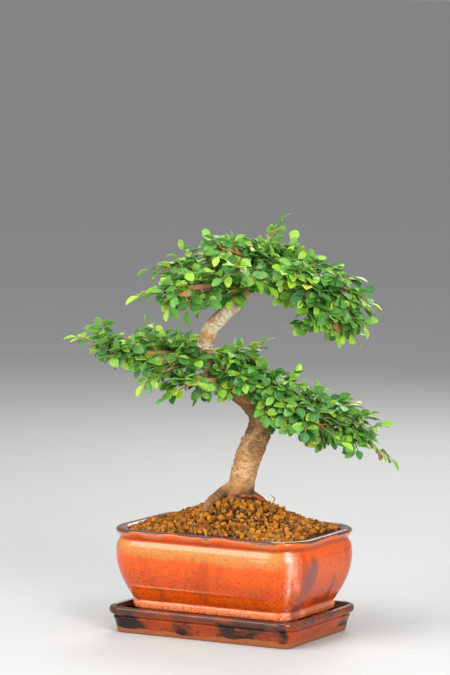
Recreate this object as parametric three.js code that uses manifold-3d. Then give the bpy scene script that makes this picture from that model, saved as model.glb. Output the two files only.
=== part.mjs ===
// A small-leaved elm bonsai with an S-shaped trunk, in a glazed rectangular pot on its own saucer.
// Millimetres, +Z up. The origin is the centre of the saucer's underside.
// The pot's long sides run along X.
import * as THREE from "three";
import { mergeVertices } from "three/addons/utils/BufferGeometryUtils.js";
import Module from "manifold-3d";

const wasm = await Module();
wasm.setup();

// Driving dimensions
const GAP = 0.3; // air between pieces that rest on or stand in each other
const LEAF_AIR = 0.1; // air between the leaves of one shoot
const CONTACT = 1e-9; // cubic millimetres in common, above which two solids touch
const SAUCER = { length: 148, width: 100, corner: 12, leastCorner: 6, height: 18.5, floor: 6.5 };
const POT = {
  length: 151,
  width: 101,
  corner: 25,
  leastCorner: 2,
  rim: 73,
  underside: 16.5,
  floor: 21.5,
  shift: 1.8, // it stands this far to the right on the saucer
};
const FOOT = { inset: 16, wall: 8, span: 22 };
const DRAIN = { radius: 5.5, fromCentre: 30 };
const MESH = { side: 22, thickness: 0.8, hole: 7, pitch: 9 };
const SOIL = { edge: 69.5, mound: 22.5, grain: 5.8, relief: 2.4 };
const TREE_TURN = THREE.MathUtils.degToRad(29.5); // the tree's best side faces past the pot's corner
const LEAF = { length: 11, width: 6.4, thickness: 0.65, fold: 0.8, droop: 1.1 };
const SHOOT = { width: 1.4, height: 0.95, tipWidth: 0.9, tipHeight: 0.65, bare: 0.28 };
const SHOOT_TRIES = 8;
const LEAF_TRIES = 16;

// Shared helpers

// A number from 0 to 1 that looks random and is the same on every run.
function scatter(i, j = 0) {
  const s = Math.sin(i * 12.9898 + j * 78.233 + 4.137) * 43758.5453;
  return s - Math.floor(s);
}

function solidFrom(geometry) {
  const bare = geometry.clone();
  bare.deleteAttribute("normal");
  bare.deleteAttribute("uv");
  const merged = mergeVertices(bare, 1e-4);
  return new wasm.Manifold(
    new wasm.Mesh({
      numProp: 3,
      vertProperties: new Float32Array(merged.attributes.position.array),
      triVerts: new Uint32Array(merged.index.array),
    }),
  );
}

function geometryFrom(solid) {
  const { vertProperties, triVerts } = solid.getMesh();
  const geometry = new THREE.BufferGeometry();
  geometry.setAttribute("position", new THREE.BufferAttribute(vertProperties, 3));
  geometry.setIndex(new THREE.BufferAttribute(triVerts, 1));
  geometry.computeVertexNormals();
  return geometry;
}

function joined(solids) {
  return solids.reduce((sum, solid) => sum.add(solid));
}

function largest(solid) {
  return solid.decompose().reduce((best, body) => (body.volume() > best.volume() ? body : best));
}

function box(length, width, height, x, y, z) {
  return solidFrom(new THREE.BoxGeometry(length, width, height).translate(x, y, z));
}

function closedGeometry(points, triangles) {
  const geometry = new THREE.BufferGeometry();
  geometry.setAttribute("position", new THREE.Float32BufferAttribute(points.flat(), 3));
  geometry.setIndex(triangles.flat());
  return geometry;
}

// Corner points of a rounded rectangle at height z, anticlockwise from above.
function ring({ length, width, corner, leastCorner }, inset, z, cornerSteps) {
  const radius = Math.max(corner - inset, leastCorner);
  const across = length / 2 - inset - radius;
  const along = width / 2 - inset - radius;
  const points = [];
  for (const [signX, signY, quarter] of [[1, 1, 0], [-1, 1, 1], [-1, -1, 2], [1, -1, 3]]) {
    for (let step = 0; step <= cornerSteps; step++) {
      const angle = (quarter + step / cornerSteps) * (Math.PI / 2);
      points.push([signX * across + radius * Math.cos(angle), signY * along + radius * Math.sin(angle), z]);
    }
  }
  return points;
}

// A body of rounded-rectangle rings, closed by its first and last ring. Profile rows are [z, inset].
function ringBody(plan, profile, cornerSteps = 4) {
  const rings = profile.map(([z, inset]) => ring(plan, inset, z, cornerSteps));
  const count = rings[0].length;
  const last = (rings.length - 1) * count;
  const triangles = [];
  for (let level = 0; level < rings.length - 1; level++) {
    for (let i = 0; i < count; i++) {
      const next = (i + 1) % count;
      const [below, above] = [level * count, (level + 1) * count];
      triangles.push([below + i, below + next, above + next], [below + i, above + next, above + i]);
    }
  }
  for (let i = 1; i < count - 1; i++) {
    triangles.push([0, i + 1, i], [last, last + i, last + i + 1]);
  }
  return closedGeometry(rings.flat(), triangles);
}

// A round limb along a smooth curve through stations of [x, y, z, radius].
function limb(stations, sides, steps, { grow = 0, bark = 0 } = {}) {
  const curve = new THREE.CatmullRomCurve3(stations.map(([x, y, z]) => new THREE.Vector3(x, y, z)));
  const frames = curve.computeFrenetFrames(steps);
  const geometry = new THREE.CylinderGeometry(1, 1, 1, sides, steps);
  const vertices = geometry.attributes.position;
  for (let v = 0; v < vertices.count; v++) {
    const step = Math.round((vertices.getY(v) + 0.5) * steps);
    const along = curve.getUtoTmapping(step / steps) * (stations.length - 1);
    const station = Math.min(Math.floor(along), stations.length - 2);
    const radius = THREE.MathUtils.lerp(stations[station][3], stations[station + 1][3], along - station);
    const [acrossX, acrossZ] = [vertices.getX(v), vertices.getZ(v)];
    const angle = Math.atan2(acrossZ, acrossX);
    const lump = 1 + bark * (Math.sin(3 * angle + step * 0.7) + 0.7 * Math.sin(5 * angle - step * 1.3));
    const place = curve
      .getPointAt(step / steps)
      .addScaledVector(frames.normals[step], acrossX * (radius * lump + grow))
      .addScaledVector(frames.binormals[step], -acrossZ * (radius * lump + grow));
    vertices.setXYZ(v, place.x, place.y, place.z);
  }
  return solidFrom(geometry);
}

// Saucer: flat underside, tapering wall, a groove under the rolled lip, and a floor for the pot's feet

const saucerProfile = [
  [0, 6.4],
  [1, 5.7],
  [8, 4.1],
  [11, 2.8],
  [12.2, 3.5],
  [13.4, 1],
  [15.4, 0],
  [17.4, 0.3],
  [SAUCER.height, 1.6],
  [SAUCER.height - 0.2, 3.8],
  [SAUCER.floor + 1.8, 7.6],
  [SAUCER.floor, 9.6],
];
const saucer = solidFrom(ringBody(SAUCER, saucerProfile, 3));

// Pot: four corner feet, a banded foot, bulging sides, a neck, a wide lip and two drain holes

const potOutside = [
  [POT.underside, 14.4],
  [17.6, 12.4],
  [21.4, 12.2],
  [22.8, 13],
  [24.4, 11.6],
  [32, 6.9],
  [42, 2.2],
  [53, 0.1],
  [61, 0.5],
  [66.6, 2.9],
  [68.6, 1.4],
  [70.6, 0],
  [72, 0.3],
  [POT.rim, 1.6],
];
const potLipInside = [
  [POT.rim - 0.2, 5.4],
  [POT.rim - 1.2, 7.6],
];
const potInside = [
  [55, 7.6],
  [40, 10.4],
  [28, 15.4],
  [POT.floor, 19.6],
];

function makePot() {
  const shell = solidFrom(ringBody(POT, [...potOutside, ...potLipInside, ...potInside]));
  const ankle = SAUCER.floor + GAP;
  const sunk = POT.underside + 1;
  const footOutside = [[ankle, FOOT.inset + 0.8], [sunk, FOOT.inset]];
  const footInside = [[ankle - 1, FOOT.inset + FOOT.wall], [sunk + 1, FOOT.inset + FOOT.wall]];
  const footRing = solidFrom(ringBody(POT, footOutside)).subtract(solidFrom(ringBody(POT, footInside)));
  const middle = (ankle + POT.underside) / 2;
  const height = POT.underside - ankle + 4;
  const betweenEnds = box(POT.length - 2 * (FOOT.inset + FOOT.span), POT.width, height, 0, 0, middle);
  const betweenSides = box(POT.length, POT.width - 2 * (FOOT.inset + FOOT.span * 0.8), height, 0, 0, middle);
  const feet = footRing.subtract(betweenEnds).subtract(betweenSides);
  const drain = (x) => {
    const hole = new THREE.CylinderGeometry(DRAIN.radius, DRAIN.radius, 20, 12).rotateX(Math.PI / 2);
    return solidFrom(hole.translate(x, 0, POT.floor - 2));
  };
  return joined([shell, ...feet.decompose()])
    .subtract(drain(-DRAIN.fromCentre))
    .subtract(drain(DRAIN.fromCentre));
}
const pot = makePot();

// Drain meshes: a plastic grid over each hole in the pot's floor

function makeDrainMesh() {
  let grid = box(MESH.side, MESH.side, MESH.thickness, 0, 0, MESH.thickness / 2);
  for (const x of [-MESH.pitch / 2, MESH.pitch / 2]) {
    for (const y of [-MESH.pitch / 2, MESH.pitch / 2]) {
      grid = grid.subtract(box(MESH.hole, MESH.hole, MESH.thickness * 4, x, y, 0));
    }
  }
  return grid;
}

// Wood: trunk, roots and boughs.
// Stations are [x right, y away, z up, radius] seen from the tree's best side.

const TRUNK = [
  [3.5, 4, 60.5, 9],
  [4.5, 4, 84, 11],
  [5.5, 4, 94, 9.6],
  [9, 3, 112.5, 8.8],
  [13, 1, 125, 9],
  [17.5, 0, 135.5, 8.6],
  [20, -2, 148.5, 8],
  [16.5, -3, 157, 8.2],
  [8.5, -3, 164.5, 7.6],
  [-1.5, -2, 171, 6.6],
  [-10.5, 0, 179.5, 6.2],
  [-16.5, 1, 187, 6.4],
  [-19, 2, 195, 6.2],
  [-15.5, 2, 208.5, 5.8],
  [-6.5, 2, 218.5, 5.4],
  [4, 1, 229, 5],
  [13.5, 2, 239.5, 4.4],
  [18, 4, 248.5, 3.4],
  [21, 5, 257.5, 2.2],
  [25, 4, 266, 1.2],
];
const ROOTS = [
  [[0.5, 3, 102, 3], [-7.5, 1, 96, 3.6], [-15.5, -2, 90, 3.2], [-25.5, -5, 77.5, 2.2], [-32.5, -8, 58, 1.3]],
  [[6.5, 4, 100, 3], [13.5, 3, 94, 4], [21.5, 1, 89, 3.2], [30.5, -1, 76.5, 2.2], [37.5, 0, 58, 1.3]],
  [[4.5, 2, 99, 3], [5.5, -5, 93, 3.8], [7.5, -12, 87, 3], [9.5, -19, 74, 2], [10.5, -23, 56, 1.2]],
  [[1.5, 6, 99, 3], [-4.5, 12, 91, 3.6], [-9.5, 18, 81.5, 2.8], [-12.5, 23, 62.5, 1.6]],
  [[6.5, 7, 99, 3], [11.5, 13, 91, 3.6], [16.5, 18, 81.5, 2.6], [20.5, 22, 62.5, 1.5]],
];
const BOUGHS = {
  left: [
    [-16.5, 1, 190.5, 4], [-30, -3, 193, 3.6], [-45.5, -6, 193, 3.1],
    [-61.5, -8, 193, 2.6], [-73, -8, 194, 2], [-85, -6, 198, 1.2],
  ],
  left_front: [[-21.5, -2, 192, 2.6], [-33.5, -13, 187.5, 2.1], [-44, -21, 184, 1.2]],
  left_back: [[-33.5, -3, 193.5, 2.4], [-47.5, 11, 196.5, 2], [-61.5, 21, 198, 1.5], [-69.5, 24, 199, 1]],
  middle: [[-12.5, 0, 184.5, 2.6], [-2.5, -8, 187.5, 2], [7.5, -13, 191.5, 1]],
  middle_front: [[-4.5, -2, 173.5, 2.6], [-11.5, -14, 176, 2.1], [-23.5, -22, 176, 1.6], [-32, -26, 173, 1]],
  right: [
    [9.5, -3, 163.5, 4.4], [22, -9, 165.5, 3.8], [35.5, -13, 163.5, 3.3], [50, -14, 158, 2.8],
    [64, -12, 150.5, 2.3], [77.5, -10, 142, 1.8], [87.5, -10, 134.5, 1.1],
  ],
  right_front: [[33, -12, 164, 2.6], [48.5, -25, 156, 2], [60.5, -32, 147, 1.1]],
  right_back: [[39, -13, 162.5, 2.4], [55, 2, 160, 1.9], [70.5, 12, 155, 1.1]],
  crown_left: [[9.5, 1, 235.5, 3.4], [-6.5, -8, 240, 2.8], [-24, -14, 240, 2.1], [-42, -16, 238, 1.1]],
  crown_upper_left: [[13, 2, 239.5, 3], [-2.5, 5, 249, 2.4], [-19.5, 8, 252, 1.7], [-35.5, 11, 248.5, 1]],
  crown_upper_right: [[18, 4, 247.5, 2.8], [34, 12, 254, 2.1], [48.5, 16, 250, 1.1]],
  crown_right: [[17, 4, 245.5, 3.2], [36.5, -5, 251.5, 2.7], [56.5, -12, 249.5, 2], [71.5, -15, 241, 1.1]],
  crown_droop: [[41, -7, 251, 2.3], [52, -17, 243.5, 1.8], [59, -23, 234, 1.3], [62, -25, 227.5, 0.9]],
  crown_front: [[15.5, 3, 242.5, 2.8], [11.5, -15, 250, 2], [7, -31, 252, 1.1]],
  crown_back: [[16.5, 4, 244.5, 2.8], [21, 22, 252, 2], [24.5, 36, 253, 1.1]],
};

function makeWood(grow) {
  const boughs = Object.values(BOUGHS).map((stations) => limb(stations, 5, stations.length, { grow }));
  const roots = ROOTS.map((stations) => limb(stations, 5, 4, { grow }));
  return joined([limb(TRUNK, 9, 28, { grow, bark: 0.025 }), ...roots, ...boughs]);
}
const wood = makeWood(0);
const woodWithAir = makeWood(GAP);

// Soil: baked-clay granules heaped round the trunk, as relief on one body that fills the pot

function moundHeight(x, y) {
  const reach = Math.hypot((x - 3) / (POT.length / 2), (y - 4) / (POT.width / 2));
  return SOIL.edge + SOIL.mound * Math.exp(-((reach / 0.62) ** 2));
}

// A grid of granule heights over the pot, closed downwards to a single far point.
function granuleField(length, width) {
  const columns = Math.round(length / SOIL.grain);
  const rows = Math.round(width / SOIL.grain);
  const points = [];
  for (let row = 0; row <= rows; row++) {
    for (let column = 0; column <= columns; column++) {
      const x = (column / columns - 0.5) * length + (scatter(column, row) - 0.5) * SOIL.grain * 0.5;
      const y = (row / rows - 0.5) * width + (scatter(row, column + 50) - 0.5) * SOIL.grain * 0.5;
      const bump = ((column + row) % 2 ? 0.5 : -0.5) + (scatter(column + 9, row + 9) - 0.5) * 0.8;
      points.push([x, y, moundHeight(x, y) + bump * SOIL.relief]);
    }
  }
  const apex = points.push([0, 0, -400]) - 1;
  const at = (column, row) => row * (columns + 1) + column;
  const triangles = [];
  for (let row = 0; row < rows; row++) {
    for (let column = 0; column < columns; column++) {
      const [near, far] = [at(column, row), at(column + 1, row + 1)];
      triangles.push([near, at(column + 1, row), far], [near, far, at(column, row + 1)]);
    }
    triangles.push([at(0, row), at(0, row + 1), apex], [at(columns, row + 1), at(columns, row), apex]);
  }
  for (let column = 0; column < columns; column++) {
    triangles.push([at(column + 1, 0), at(column, 0), apex], [at(column, rows), at(column + 1, rows), apex]);
  }
  return closedGeometry(points, triangles);
}

function makeSoil() {
  const filling = [...potInside].reverse().map(([z, inset]) => [Math.max(z, POT.floor + GAP), inset + GAP]);
  const tall = solidFrom(ringBody(POT, [...filling, [POT.rim - 1.2, 7.6 + GAP], [POT.rim + 40, 7.6 + GAP]]));
  const granules = solidFrom(granuleField(POT.length + 16, POT.width + 16));
  const meshRoom = (x) => {
    const side = MESH.side + 2 * GAP;
    const height = MESH.thickness + 2 * GAP;
    return box(side, side, height * 2, x, 0, POT.floor + GAP);
  };
  const clearOfTree = solidFrom(geometryFrom(woodWithAir).rotateZ(TREE_TURN).translate(-POT.shift, 0, 0));
  const filled = tall
    .intersect(granules)
    .subtract(meshRoom(-DRAIN.fromCentre))
    .subtract(meshRoom(DRAIN.fromCentre))
    .subtract(clearOfTree);
  return largest(filled);
}

// Shoots: slim and four-sided, with leaves growing straight out of alternate sides and one from the end.
// A ring has four corners: left top, left bottom, right bottom and right top.
// Leaf slots are counted by rings.

const LEAF_EDGE = [[0.5, -0.5], [0.58, -0.37], [1, 0], [0.58, 0.37], [0.5, 0.5]];
const SIDE_LEAVES = 7;
const END_SLOT = SIDE_LEAVES + 1;

function shootRings({ stem, side, over }, grow) {
  const rings = [];
  for (let r = 0; r <= END_SLOT; r++) {
    const t = r === 0 ? 0 : THREE.MathUtils.lerp(SHOOT.bare, 1, (r - 1) / SIDE_LEAVES);
    const across = THREE.MathUtils.lerp(SHOOT.width, SHOOT.tipWidth, t) / 2 + grow;
    const rise = THREE.MathUtils.lerp(SHOOT.height, SHOOT.tipHeight, t) / 2 + grow;
    const corners = [[-1, 1], [-1, -1], [1, -1], [1, 1]].map(([right, up]) =>
      stem.getPoint(t).addScaledVector(side, right * across).addScaledVector(over, up * rise),
    );
    rings.push(corners);
  }
  return rings;
}

// The corners that a leaf grows from: rear top, front top, front bottom and rear bottom.
function leafSeat(slot) {
  const [rear, front] = [4 * slot, 4 * slot + 4];
  if (slot === END_SLOT) return [rear, rear + 3, rear + 2, rear + 1];
  return isRight(slot) ? [rear + 3, front + 3, front + 2, rear + 2] : [rear, front, front + 1, rear + 1];
}

function isRight(slot) {
  return slot % 2 === 0 && slot !== END_SLOT;
}

// Edge points of a blade folded along its midrib: first those above, then those below.
function leafPoints(origin, grows, facing, { length, width, thickness }, mirrored) {
  const across = new THREE.Vector3().crossVectors(grows, facing).normalize();
  const normal = new THREE.Vector3().crossVectors(across, grows);
  if (mirrored) across.negate();
  return [thickness / 2, -thickness / 2].flatMap((height) =>
    LEAF_EDGE.map(([x, y]) => {
      const lift = 2 * LEAF.fold * Math.abs(y) - LEAF.droop * x * x + height;
      return origin
        .clone()
        .addScaledVector(grows, x * length)
        .addScaledVector(across, y * width)
        .addScaledVector(normal, lift);
    }),
  );
}

// Both faces are split alike, in a fan from the rear corner.
function leafTriangles([rearTop, frontTop, frontBottom, rearBottom], first, mirrored) {
  const above = [rearTop, ...LEAF_EDGE.map((_, i) => first + i), frontTop];
  const below = [rearBottom, ...LEAF_EDGE.map((_, i) => first + LEAF_EDGE.length + i), frontBottom];
  const triangles = [];
  for (let i = 0; i < above.length - 1; i++) {
    if (i > 0) triangles.push([above[0], above[i + 1], above[i]], [below[0], below[i], below[i + 1]]);
    triangles.push([above[i], above[i + 1], below[i + 1]], [above[i], below[i + 1], below[i]]);
  }
  return mirrored ? triangles.map(([a, b, c]) => [a, c, b]) : triangles;
}

function leafSolid(seat, points, mirrored) {
  const base = mirrored ? [[0, 1, 2], [0, 2, 3]] : [[1, 0, 3], [1, 3, 2]];
  const corners = [...seat, ...points].map((point) => point.toArray());
  const blade = leafTriangles([0, 1, 2, 3], seat.length, mirrored);
  return solidFrom(closedGeometry(corners, [...base, ...blade]));
}

function shootSolid(rings, leaves) {
  const points = rings.flat();
  const triangles = [];
  const quad = (a, b, c, d) => triangles.push([a, b, c], [a, c, d]);
  const end = 4 * END_SLOT;
  quad(0, 1, 2, 3);
  if (!leaves[END_SLOT]) quad(end + 3, end + 2, end + 1, end);
  for (let r = 0; r < END_SLOT; r++) {
    const [rear, front] = [4 * r, 4 * r + 4];
    quad(rear, rear + 3, front + 3, front);
    quad(rear + 1, front + 1, front + 2, rear + 2);
    if (!leaves[r] || isRight(r)) quad(rear, front, front + 1, rear + 1);
    if (!leaves[r] || !isRight(r)) quad(front + 3, rear + 3, rear + 2, front + 2);
  }
  for (const [slot, leaf] of Object.entries(leaves)) {
    triangles.push(...leafTriangles(leafSeat(Number(slot)), points.length, isRight(Number(slot))));
    points.push(...leaf);
  }
  return solidFrom(closedGeometry(points.map((point) => point.toArray()), triangles));
}

// Sprays: leafy shoots, one node each, thrown to either side of a bough in turn and once at its tip

const CROWN_TOP = [[16, 3, 244], [18, 4, 248.5], [21, 5, 257.5], [25, 4, 266]];
const SPRAYS = [
  { bough: "left", shoots: 6, length: 23, lift: 0 },
  { bough: "left_front", shoots: 3, length: 20, lift: -0.1 },
  { bough: "left_back", shoots: 2, length: 22, lift: 0.1 },
  { bough: "middle", shoots: 2, length: 17, lift: 0.3 },
  { bough: "middle_front", shoots: 4, length: 18, lift: -0.1 },
  { bough: "right", shoots: 6, length: 24, lift: 0.15 },
  { bough: "right_front", shoots: 3, length: 21, lift: 0 },
  { bough: "right_back", shoots: 2, length: 22, lift: 0.1 },
  { bough: "crown_left", shoots: 4, length: 23, lift: 0 },
  { bough: "crown_upper_left", shoots: 4, length: 23, lift: 0.35 },
  { bough: "crown_top", shoots: 3, length: 17, lift: 0.1 },
  { bough: "crown_upper_right", shoots: 3, length: 23, lift: 0.3 },
  { bough: "crown_right", shoots: 4, length: 24, lift: 0.1 },
  { bough: "crown_droop", shoots: 4, length: 19, lift: 0 },
  { bough: "crown_front", shoots: 2, length: 21, lift: 0.2 },
  { bough: "crown_back", shoots: 2, length: 21, lift: 0.2 },
];
const UP = new THREE.Vector3(0, 0, 1);

// The curve of shoot k of a bough, and the way it grows. Each further try turns it a little.
function shootOf({ bough, shoots, length, lift }, k, attempt) {
  const line = bough === "crown_top" ? CROWN_TOP : BOUGHS[bough];
  const curve = new THREE.CatmullRomCurve3(line.map(([x, y, z]) => new THREE.Vector3(x, y, z)));
  const atTip = k === shoots - 1;
  const along = atTip ? 0.97 : 0.1 + (0.8 * (k + 0.5)) / (shoots - 1) + 0.02 * attempt;
  const start = curve.getPointAt(along);
  const tangent = curve.getTangentAt(along);
  const side = new THREE.Vector3().crossVectors(tangent, UP).normalize();
  const over = new THREE.Vector3().crossVectors(side, tangent);
  const turn = ((k + attempt) % 2 ? 1 : -1) * (0.9 + 0.4 * scatter(k + 17 * attempt, length));
  const rise = lift + 1.7 * (scatter(3 * k + 7 * attempt, length + lift) - 0.45);
  const direction = tangent
    .clone()
    .multiplyScalar(atTip ? 1 : 0.45)
    .addScaledVector(side, atTip ? 0 : Math.sin(turn))
    .addScaledVector(over, atTip ? lift : rise)
    .normalize();
  const reach = length * (0.85 + 0.3 * scatter(k + 3, length));
  const middle = start.clone().addScaledVector(direction, reach * 0.5).addScaledVector(UP, 0.8);
  const end = start.clone().addScaledVector(direction, reach).addScaledVector(UP, -0.8);
  const right = new THREE.Vector3().crossVectors(direction, UP).normalize();
  return {
    stem: new THREE.QuadraticBezierCurve3(start, middle, end),
    direction,
    side: right,
    over: new THREE.Vector3().crossVectors(right, direction),
  };
}

const settled = []; // what later twigs and leaves are bent clear of, each with the spray that owns it
function settle(solid, owner) {
  settled.push({ solid, owner, bounds: solid.boundingBox() });
}

function touches(a, b) {
  return a.intersect(b).volume() > CONTACT;
}

function boundsMeet(a, b) {
  return [0, 1, 2].every((axis) => a.min[axis] < b.max[axis] && b.min[axis] < a.max[axis]);
}

function isClear(solid, owner) {
  const bounds = solid.boundingBox();
  const near = settled.filter((other) => other.owner !== owner && boundsMeet(bounds, other.bounds));
  return !near.some((other) => touches(solid, other.solid));
}

function makeShoot(spray, k) {
  const name = `spray_${spray.bough}_${k + 1}`;
  for (let attempt = 0; attempt < SHOOT_TRIES; attempt++) {
    const shoot = shootOf(spray, k, attempt);
    const whole = shootSolid(shootRings(shoot, GAP), {});
    const beyondWood = largest(whole.subtract(woodWithAir));
    if (beyondWood.volume() > 0.6 * whole.volume() && isClear(beyondWood, name)) {
      settle(beyondWood, name);
      return { name, ...shoot };
    }
  }
  throw new Error(`no clear way for ${name}`);
}

// The leaf of a slot, turned until it is clear of all that is there already.
function placeLeaf({ name, direction, side, over }, rings, slot, seed, siblings) {
  const mirrored = isRight(slot);
  const seat = leafSeat(slot).map((corner) => rings.flat()[corner]);
  const origin = new THREE.Vector3();
  for (const corner of seat) origin.addScaledVector(corner, 1 / seat.length);
  const outward = new THREE.Vector3(origin.x, origin.y, 0).normalize();
  const away = slot === END_SLOT ? 0 : 1;
  const size = 0.85 + 0.3 * scatter(seed, slot);
  for (let attempt = 0; attempt < LEAF_TRIES; attempt++) {
    const chance = (k) => scatter(seed + 3 * attempt, slot + 11 * k) - 0.5;
    const swing = away * (1.05 + 0.4 * chance(1));
    const grows = direction
      .clone()
      .multiplyScalar(Math.cos(swing))
      .addScaledVector(side, Math.sin(swing) * (mirrored ? 1 : -1))
      .addScaledVector(over, 0.9 * chance(2))
      .addScaledVector(UP, -0.15)
      .normalize();
    const facing = over
      .clone()
      .addScaledVector(outward, 0.5)
      .addScaledVector(side, 0.7 * chance(3))
      .normalize();
    const blade = (air) => {
      const length = LEAF.length * size + air;
      const width = LEAF.width * size + 2 * air;
      const thickness = LEAF.thickness + 2 * air;
      return leafPoints(origin, grows, facing, { length, width, thickness }, mirrored);
    };
    const leafWithAir = (air) => leafSolid(seat, blade(air), mirrored);
    const besideSiblings = leafWithAir(slot === END_SLOT ? 0 : LEAF_AIR);
    if (!siblings.some((other) => touches(besideSiblings, other)) && isClear(leafWithAir(GAP), name)) {
      const leaf = leafWithAir(0);
      settle(leaf, name);
      siblings.push(leaf);
      return blade(0);
    }
  }
  return null;
}

function makeSpray(shoot, seed) {
  const rings = shootRings(shoot, 0);
  const leaves = {};
  const siblings = [];
  for (let slot = 1; slot <= END_SLOT; slot++) {
    const leaf = placeLeaf(shoot, rings, slot, seed, siblings);
    if (leaf) leaves[slot] = leaf;
  }
  return largest(shootSolid(rings, leaves).subtract(woodWithAir));
}

// The parts, each in its own material

const finish = (color, roughness) => new THREE.MeshStandardMaterial({ color, roughness, metalness: 0 });
const copperGlaze = finish(0xd2571f, 0.18);
const darkGlaze = finish(0x7a3f24, 0.22);
const bark = finish(0xb48a5c, 0.85);
const leafGreen = finish(0x3f8a35, 0.5);
const bakedClay = finish(0xb8792c, 0.95);
const blackPlastic = finish(0x1c1c1c, 0.6);

function part(name, solid, material) {
  const mesh = new THREE.Mesh(geometryFrom(solid), material);
  mesh.name = name;
  return mesh;
}

const bonsai = new THREE.Group();
bonsai.add(part("saucer", saucer, darkGlaze));

const potted = new THREE.Group();
potted.position.x = POT.shift;
potted.add(part("pot", pot, copperGlaze), part("soil", makeSoil(), bakedClay));
for (const [name, x] of [["drain_mesh_left", -DRAIN.fromCentre], ["drain_mesh_right", DRAIN.fromCentre]]) {
  const grid = part(name, makeDrainMesh(), blackPlastic);
  grid.position.set(x, 0, POT.floor + GAP);
  potted.add(grid);
}
bonsai.add(potted);

const tree = new THREE.Group();
tree.rotation.z = TREE_TURN;
tree.add(part("trunk", wood, bark));
const shoots = SPRAYS.flatMap((spray) =>
  Array.from({ length: spray.shoots }, (_, k) => makeShoot(spray, k)),
);
settle(woodWithAir);
shoots.forEach((shoot, index) => {
  tree.add(part(shoot.name, makeSpray(shoot, index * 11 + 1), leafGreen));
});
bonsai.add(tree);

export default bonsai;
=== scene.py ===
# A small-leaved elm bonsai with an S-shaped trunk, in a glazed pot on its saucer.
# The frame is in metres, +Z up, from the centre of the saucer's underside.
# Pieces are shaped in millimetres. The tree is shaped as seen from its best side, x right, y away and z up.
import math
from bisect import bisect_left

import bmesh
import bpy
from mathutils import Euler, Matrix, Vector, kdtree, noise


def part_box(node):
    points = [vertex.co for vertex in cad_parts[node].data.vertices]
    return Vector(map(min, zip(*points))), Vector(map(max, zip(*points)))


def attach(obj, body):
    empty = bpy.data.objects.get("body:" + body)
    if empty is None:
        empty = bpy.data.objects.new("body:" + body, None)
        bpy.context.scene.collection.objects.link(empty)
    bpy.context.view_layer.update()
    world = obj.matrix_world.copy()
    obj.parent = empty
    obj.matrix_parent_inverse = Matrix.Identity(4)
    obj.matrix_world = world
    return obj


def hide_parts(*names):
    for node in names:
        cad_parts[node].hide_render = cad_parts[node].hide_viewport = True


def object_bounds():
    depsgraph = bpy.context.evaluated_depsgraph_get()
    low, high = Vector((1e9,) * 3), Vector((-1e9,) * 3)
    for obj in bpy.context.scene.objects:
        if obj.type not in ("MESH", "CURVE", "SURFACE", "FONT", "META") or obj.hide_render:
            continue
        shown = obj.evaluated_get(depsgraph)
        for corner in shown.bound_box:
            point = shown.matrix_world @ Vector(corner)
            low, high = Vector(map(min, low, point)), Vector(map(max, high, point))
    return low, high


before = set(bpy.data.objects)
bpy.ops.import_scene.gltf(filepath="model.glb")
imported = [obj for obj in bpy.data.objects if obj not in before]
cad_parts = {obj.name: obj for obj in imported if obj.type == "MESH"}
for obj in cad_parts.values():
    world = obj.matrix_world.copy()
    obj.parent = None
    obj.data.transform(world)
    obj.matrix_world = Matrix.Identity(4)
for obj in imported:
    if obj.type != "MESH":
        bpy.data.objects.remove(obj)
cad_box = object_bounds()

MM = 0.001
TREE_TURN = math.radians(29.5)
IN_POT = Matrix.Scale(MM, 4)
IN_TREE = Matrix.Rotation(TREE_TURN, 4, "Z") @ IN_POT
UP = Vector((0, 0, 1))


# Camera, light and floor

CAMERA_DISTANCE = 2.5
CAMERA_PITCH = math.radians(5.9)
ORIGIN_IN_VIEW = (0.0047, -0.2029)  # how far right of and above the view's middle the origin is seen
FOCAL_LENGTH = 192.5
SENSOR_WIDTH = 36
LIGHT_AIM = 0.1
FLOOR_REACH = 40


def direction_to(azimuth, elevation):
    """From the object to a viewer or a light. Azimuth 0 is in front of the pot's long side."""
    level = math.cos(elevation)
    return Vector((math.sin(azimuth) * level, -math.cos(azimuth) * level, math.sin(elevation)))


def make_camera():
    right = Vector((math.cos(TREE_TURN), math.sin(TREE_TURN), 0))
    back = direction_to(TREE_TURN, CAMERA_PITCH)
    up = back.cross(right)
    camera = added("camera", bpy.data.cameras.new("camera"))
    camera.data.lens = FOCAL_LENGTH
    camera.data.sensor_width = SENSOR_WIDTH
    camera.data.clip_start = 0.05
    camera.location = back * CAMERA_DISTANCE - right * ORIGIN_IN_VIEW[0] - up * ORIGIN_IN_VIEW[1]
    camera.rotation_mode = "QUATERNION"
    camera.rotation_quaternion = (-back).to_track_quat("-Z", "Y")
    bpy.context.scene.camera = camera


def add_light(name, azimuth, elevation, distance, width, height, power):
    """A soft oblong light that looks at the object. Its angles are in degrees."""
    toward = direction_to(math.radians(azimuth), math.radians(elevation))
    lamp = bpy.data.lights.new(name, "AREA")
    lamp.shape = "RECTANGLE"
    lamp.size = width
    lamp.size_y = height
    lamp.energy = power
    light = added(name, lamp)
    light.location = toward * distance + Vector((0, 0, LIGHT_AIM))
    light.rotation_euler = (-toward).to_track_quat("-Z", "Y").to_euler()


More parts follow.
